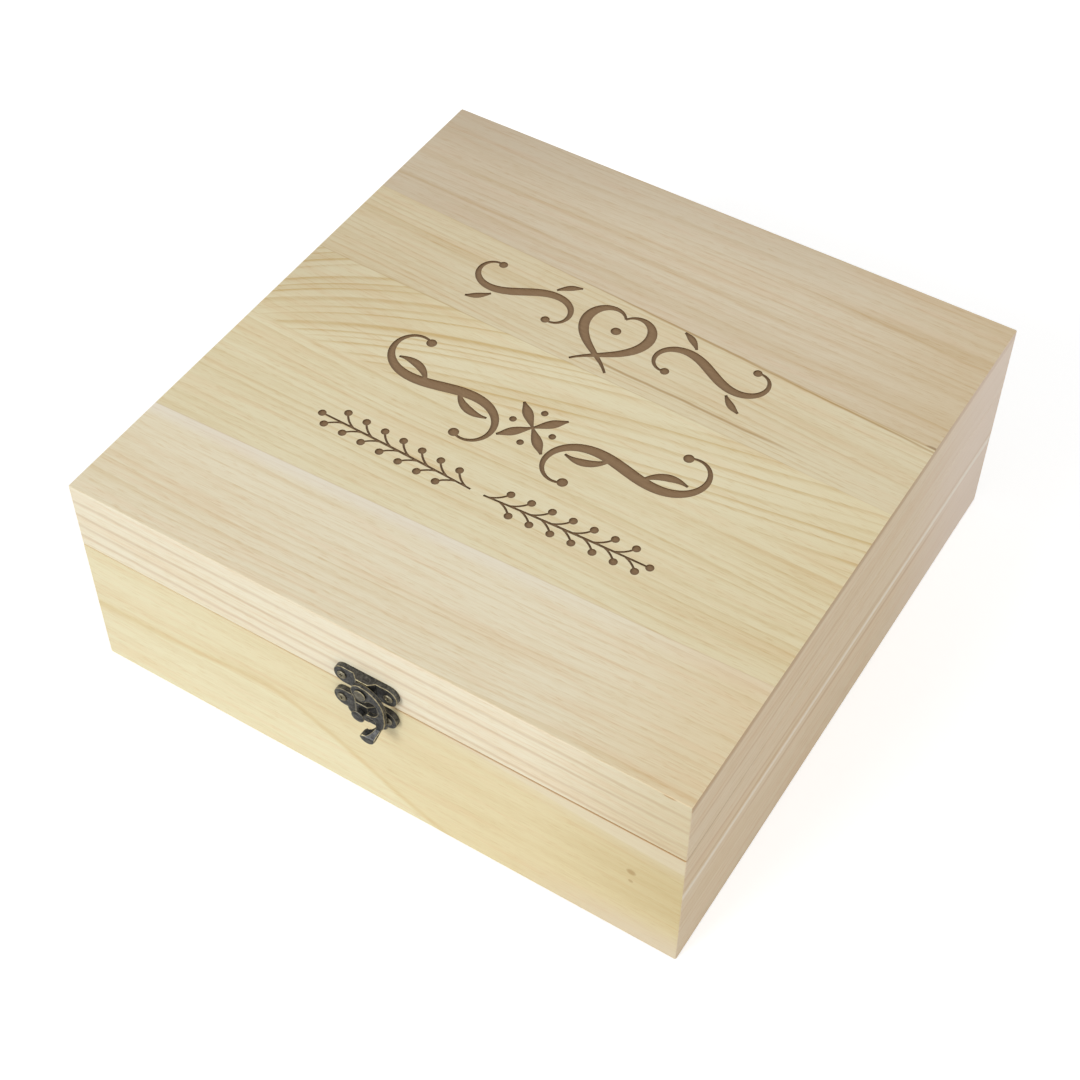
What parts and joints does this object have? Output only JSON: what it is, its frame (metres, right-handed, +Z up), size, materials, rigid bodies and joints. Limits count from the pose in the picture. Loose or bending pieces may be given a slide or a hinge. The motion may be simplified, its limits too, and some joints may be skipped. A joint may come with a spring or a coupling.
{
  "type": "keepsake box",
  "caption": "Square hinged keepsake box in pale wood with engraved scroll ornament and berry sprigs on the lid and an antique-bronze swing-hook latch.",
  "frame": {"origin": "middle of the underside", "axes": "+Z up, the front with the latch faces -Y, +X to the right seen from the front"},
  "size_m": [0.27, 0.2875, 0.103],
  "materials": {
    "pale_wood": "bare sanded",
    "sheet_wood": "bare sanded",
    "antique_bronze": "dark antique, worn bright on its edges"
  },
  "bodies": {
    "base": {"base_front_wall": "pale_wood", "base_back_wall": "pale_wood", "base_left_wall": "pale_wood", "base_right_wall_upper": "pale_wood", "base_right_wall_lower": "pale_wood", "base_bottom": "sheet_wood", "catch_plate": "antique_bronze", "catch_post": "antique_bronze", "catch_plate_screws": "antique_bronze", "hinge_left_base_leaf": "antique_bronze", "hinge_left_pin": "antique_bronze", "hinge_right_base_leaf": "antique_bronze", "hinge_right_pin": "antique_bronze", "hinge_base_screws": "antique_bronze"},
    "lid": {"lid_top_back_board": "pale_wood", "lid_top_back_middle_board": "pale_wood", "lid_top_front_middle_board": "pale_wood", "lid_top_front_board": "pale_wood", "lid_front_rail": "pale_wood", "lid_back_rail": "pale_wood", "lid_left_rail": "pale_wood", "lid_right_rail": "pale_wood", "latch_plate": "antique_bronze", "latch_rivet": "antique_bronze", "latch_plate_screws": "antique_bronze", "hinge_left_lid_leaf": "antique_bronze", "hinge_right_lid_leaf": "antique_bronze", "hinge_lid_screws": "antique_bronze"},
    "hook": {"latch_hook": "antique_bronze"}
  },
  "joints": [
    {"name": "lid_hinge", "type": "hinge", "parent": "base", "child": "lid", "pos_m": [0, 0.1377, 0.06918], "axis": [-1, 0, 0], "range_deg": [0, 105]},
    {"name": "latch_swing", "type": "hinge", "parent": "lid", "child": "hook", "pos_m": [0.0026, -0.1405, 0.0774], "axis": [0, -1, 0], "range_deg": [-22.3, 180]}
  ]
}
